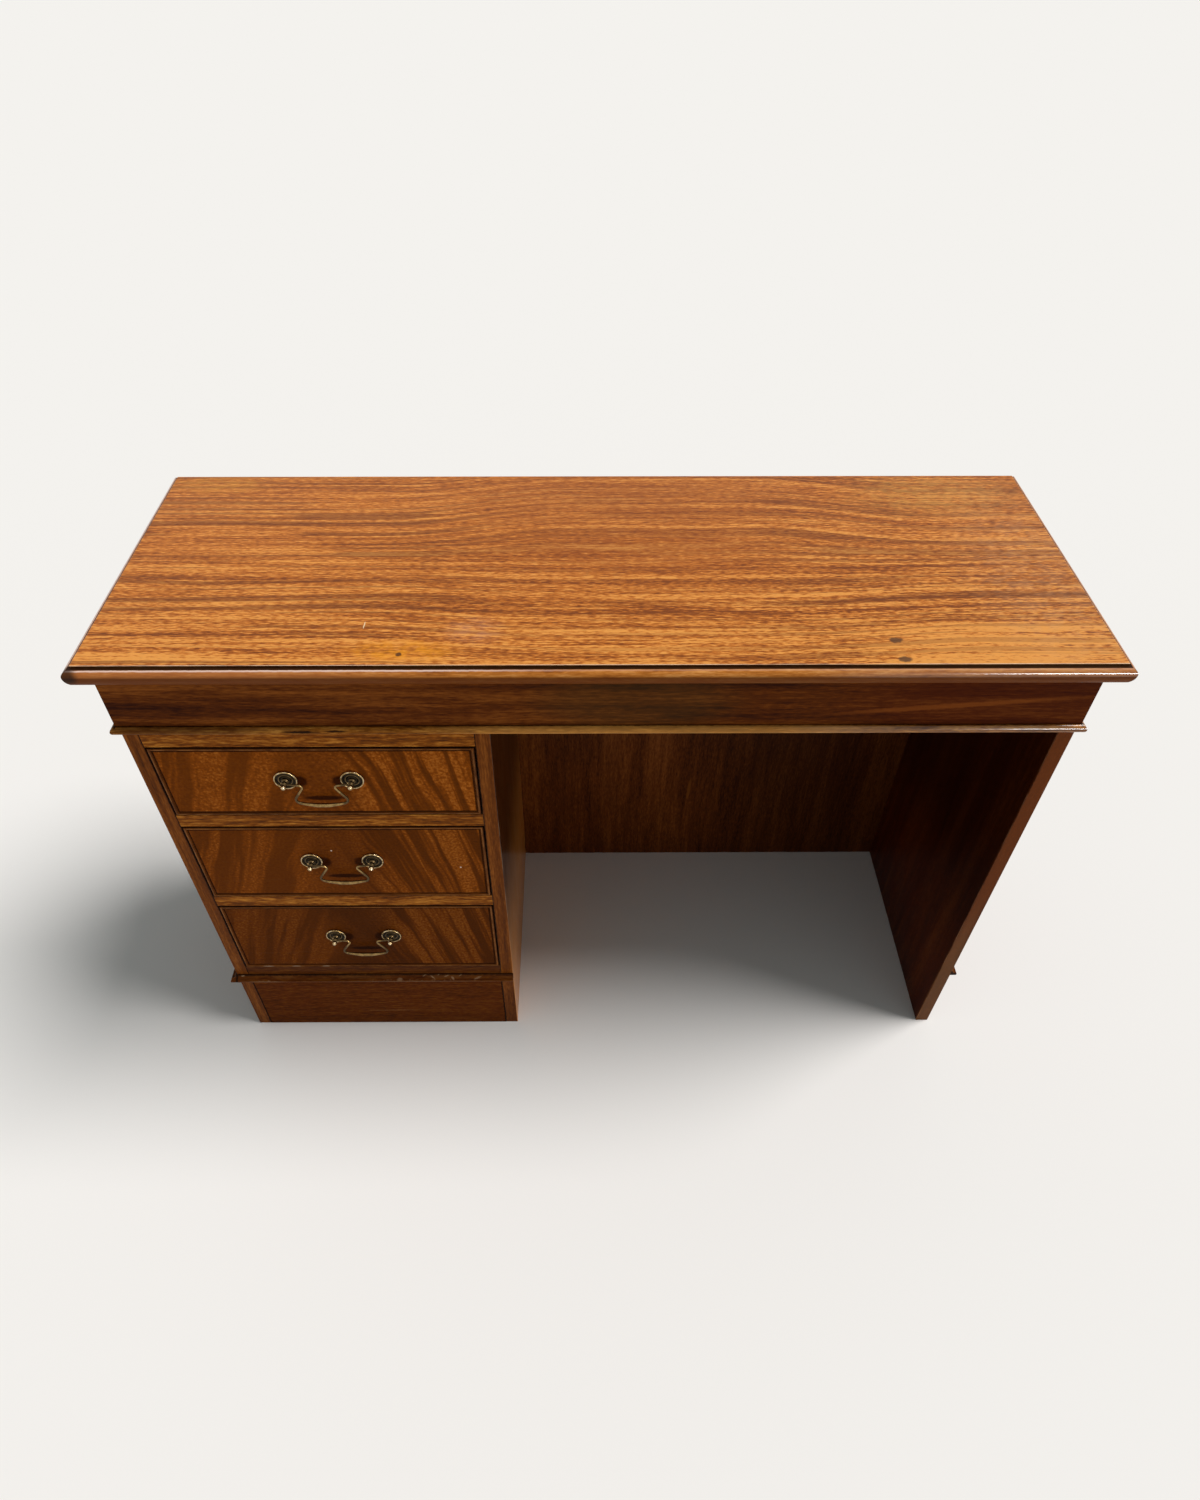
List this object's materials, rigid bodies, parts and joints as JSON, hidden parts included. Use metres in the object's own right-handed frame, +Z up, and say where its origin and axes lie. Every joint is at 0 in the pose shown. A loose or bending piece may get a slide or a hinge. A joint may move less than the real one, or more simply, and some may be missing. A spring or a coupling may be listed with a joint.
{
  "type": "single-pedestal writing desk",
  "caption": "Mahogany writing desk: moulded top, plain frieze, drawer pedestal on the left, open kneehole with modesty panel, end panel, swan-neck handles.",
  "frame": {"origin": "on the floor, under the middle of the desk", "axes": "+X to the right along the top, -Y out of the drawer fronts, +Z up"},
  "size_m": [1.143, 0.417, 0.762],
  "materials": {
    "mahogany_top": "glossy lacquered mahogany with ribbon grain along X",
    "mahogany_case": "glossy stained mahogany",
    "mahogany_bead": "stained mahogany strip",
    "flame_veneer": "crotch mahogany veneer, lacquered",
    "drawer_timber": "thin sealed drawer-box timber",
    "carcass_timber": "sawn carcass softwood",
    "antique_brass": "aged, darkened cast brass",
    "steel": "countersunk steel wood screw"
  },
  "bodies": {
    "carcass": {"drawer_runners": "carcass_timber", "drawer_stops": "carcass_timber", "end_panel": "mahogany_case", "frieze_back": "mahogany_case", "frieze_bead_back": "mahogany_case", "frieze_bead_front": "mahogany_case", "frieze_bead_left": "mahogany_case", "frieze_bead_right": "mahogany_case", "frieze_front": "mahogany_case", "frieze_left": "mahogany_case", "frieze_right": "mahogany_case", "glue_blocks": "carcass_timber", "lower_rail": "mahogany_case", "mid_rails": "mahogany_case", "modesty_panel": "mahogany_case", "pedestal_back": "mahogany_case", "pedestal_bottom_board": "carcass_timber", "pedestal_inner_side": "mahogany_case", "pedestal_outer_side": "mahogany_case", "plinth_board": "mahogany_case", "plinth_moulding_end": "mahogany_case", "plinth_moulding_front": "mahogany_case", "plinth_moulding_left": "mahogany_case", "top_board": "mahogany_top", "top_fixing_screws": "steel", "top_moulding_back": "mahogany_top", "top_moulding_front": "mahogany_top", "top_moulding_left": "mahogany_top", "top_moulding_right": "mahogany_top", "upper_rail": "mahogany_case"},
    "top_drawer": {"top_drawer_back": "drawer_timber", "top_drawer_bottom": "drawer_timber", "top_drawer_cock_bead": "mahogany_bead", "top_drawer_front": "flame_veneer", "top_drawer_handle_nuts": "antique_brass", "top_drawer_handle_posts": "antique_brass", "top_drawer_handle_roses": "antique_brass", "top_drawer_left_side": "drawer_timber", "top_drawer_right_side": "drawer_timber"},
    "top_bail": {"top_drawer_handle_bail": "antique_brass"},
    "middle_drawer": {"middle_drawer_back": "drawer_timber", "middle_drawer_bottom": "drawer_timber", "middle_drawer_cock_bead": "mahogany_bead", "middle_drawer_front": "flame_veneer", "middle_drawer_handle_nuts": "antique_brass", "middle_drawer_handle_posts": "antique_brass", "middle_drawer_handle_roses": "antique_brass", "middle_drawer_left_side": "drawer_timber", "middle_drawer_right_side": "drawer_timber"},
    "middle_bail": {"middle_drawer_handle_bail": "antique_brass"},
    "bottom_drawer": {"bottom_drawer_back": "drawer_timber", "bottom_drawer_bottom": "drawer_timber", "bottom_drawer_cock_bead": "mahogany_bead", "bottom_drawer_front": "flame_veneer", "bottom_drawer_handle_nuts": "antique_brass", "bottom_drawer_handle_posts": "antique_brass", "bottom_drawer_handle_roses": "antique_brass", "bottom_drawer_left_side": "drawer_timber", "bottom_drawer_right_side": "drawer_timber"},
    "bottom_bail": {"bottom_drawer_handle_bail": "antique_brass"}
  },
  "joints": [
    {"name": "top_drawer_slide", "type": "slide", "parent": "carcass", "child": "top_drawer", "axis": [0, -1, 0], "range_m": [0, 0.255]},
    {"name": "top_bail_hinge", "type": "hinge", "parent": "top_drawer", "child": "top_bail", "pos_m": [-0.338, -0.1962, 0.57537], "axis": [-1, 0, 0], "range_deg": [-9, 189]},
    {"name": "middle_drawer_slide", "type": "slide", "parent": "carcass", "child": "middle_drawer", "axis": [0, -1, 0], "range_m": [0, 0.255]},
    {"name": "middle_bail_hinge", "type": "hinge", "parent": "middle_drawer", "child": "middle_bail", "pos_m": [-0.338, -0.1962, 0.42094], "axis": [-1, 0, 0], "range_deg": [-9, 189]},
    {"name": "bottom_drawer_slide", "type": "slide", "parent": "carcass", "child": "bottom_drawer", "axis": [0, -1, 0], "range_m": [0, 0.255]},
    {"name": "bottom_bail_hinge", "type": "hinge", "parent": "bottom_drawer", "child": "bottom_bail", "pos_m": [-0.338, -0.1962, 0.24887], "axis": [-1, 0, 0], "range_deg": [-9, 189]}
  ]
}
